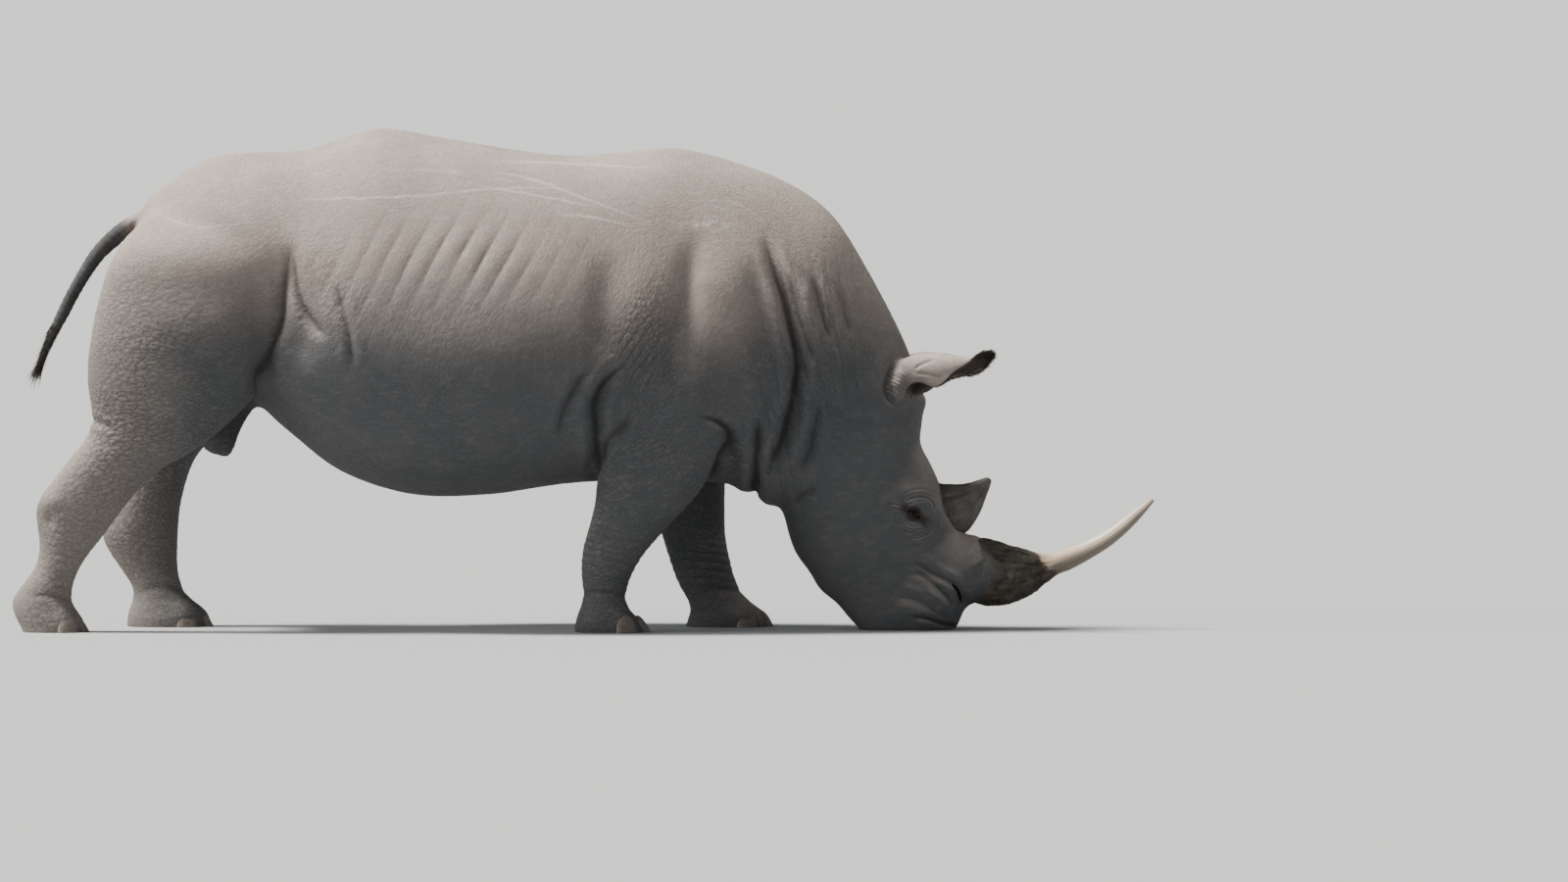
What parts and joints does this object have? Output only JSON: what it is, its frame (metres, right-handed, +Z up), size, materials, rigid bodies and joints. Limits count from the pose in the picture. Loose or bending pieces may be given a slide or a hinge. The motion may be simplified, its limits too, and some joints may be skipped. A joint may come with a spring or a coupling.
{
  "type": "white rhinoceros model",
  "caption": "Life-size still model of a grazing white rhinoceros bull in mid-stride, head down with its lips on the ground.",
  "frame": {"origin": "on the floor, at the middle of the animal's length and width", "axes": "+X to where the animal faces, +Y to its left, +Z up"},
  "size_m": [4.1922, 1.1354, 1.823],
  "materials": {
    "hide": "thick grey-brown wrinkled hide, dusty and matt, with a mosaic of fine cracks",
    "horn": "fibrous keratin: dark and frayed at the base, tan and rubbed smooth towards the tip",
    "nail": "dull grey-brown hoof horn, worn at the lower edge",
    "eye": "wet dark brown eyeball",
    "hair": "coarse black-brown bristles"
  },
  "bodies": {
    "root": {"trunk": "hide", "neck": "hide", "head": "hide", "tail": "hide", "foreleg_right": "hide", "foreleg_left": "hide", "hindleg_right": "hide", "hindleg_left": "hide", "ear_right": "hide", "ear_left": "hide", "eye_right": "eye", "eye_left": "eye", "horn_front": "horn", "horn_rear": "horn", "tail_tuft": "hair", "toenail_foreleg_right_inner": "nail", "toenail_foreleg_right_middle": "nail", "toenail_foreleg_right_outer": "nail", "toenail_foreleg_left_inner": "nail", "toenail_foreleg_left_middle": "nail", "toenail_foreleg_left_outer": "nail", "toenail_hindleg_right_inner": "nail", "toenail_hindleg_right_middle": "nail", "toenail_hindleg_right_outer": "nail", "toenail_hindleg_left_inner": "nail", "toenail_hindleg_left_middle": "nail", "toenail_hindleg_left_outer": "nail"}
  },
  "joints": []
}
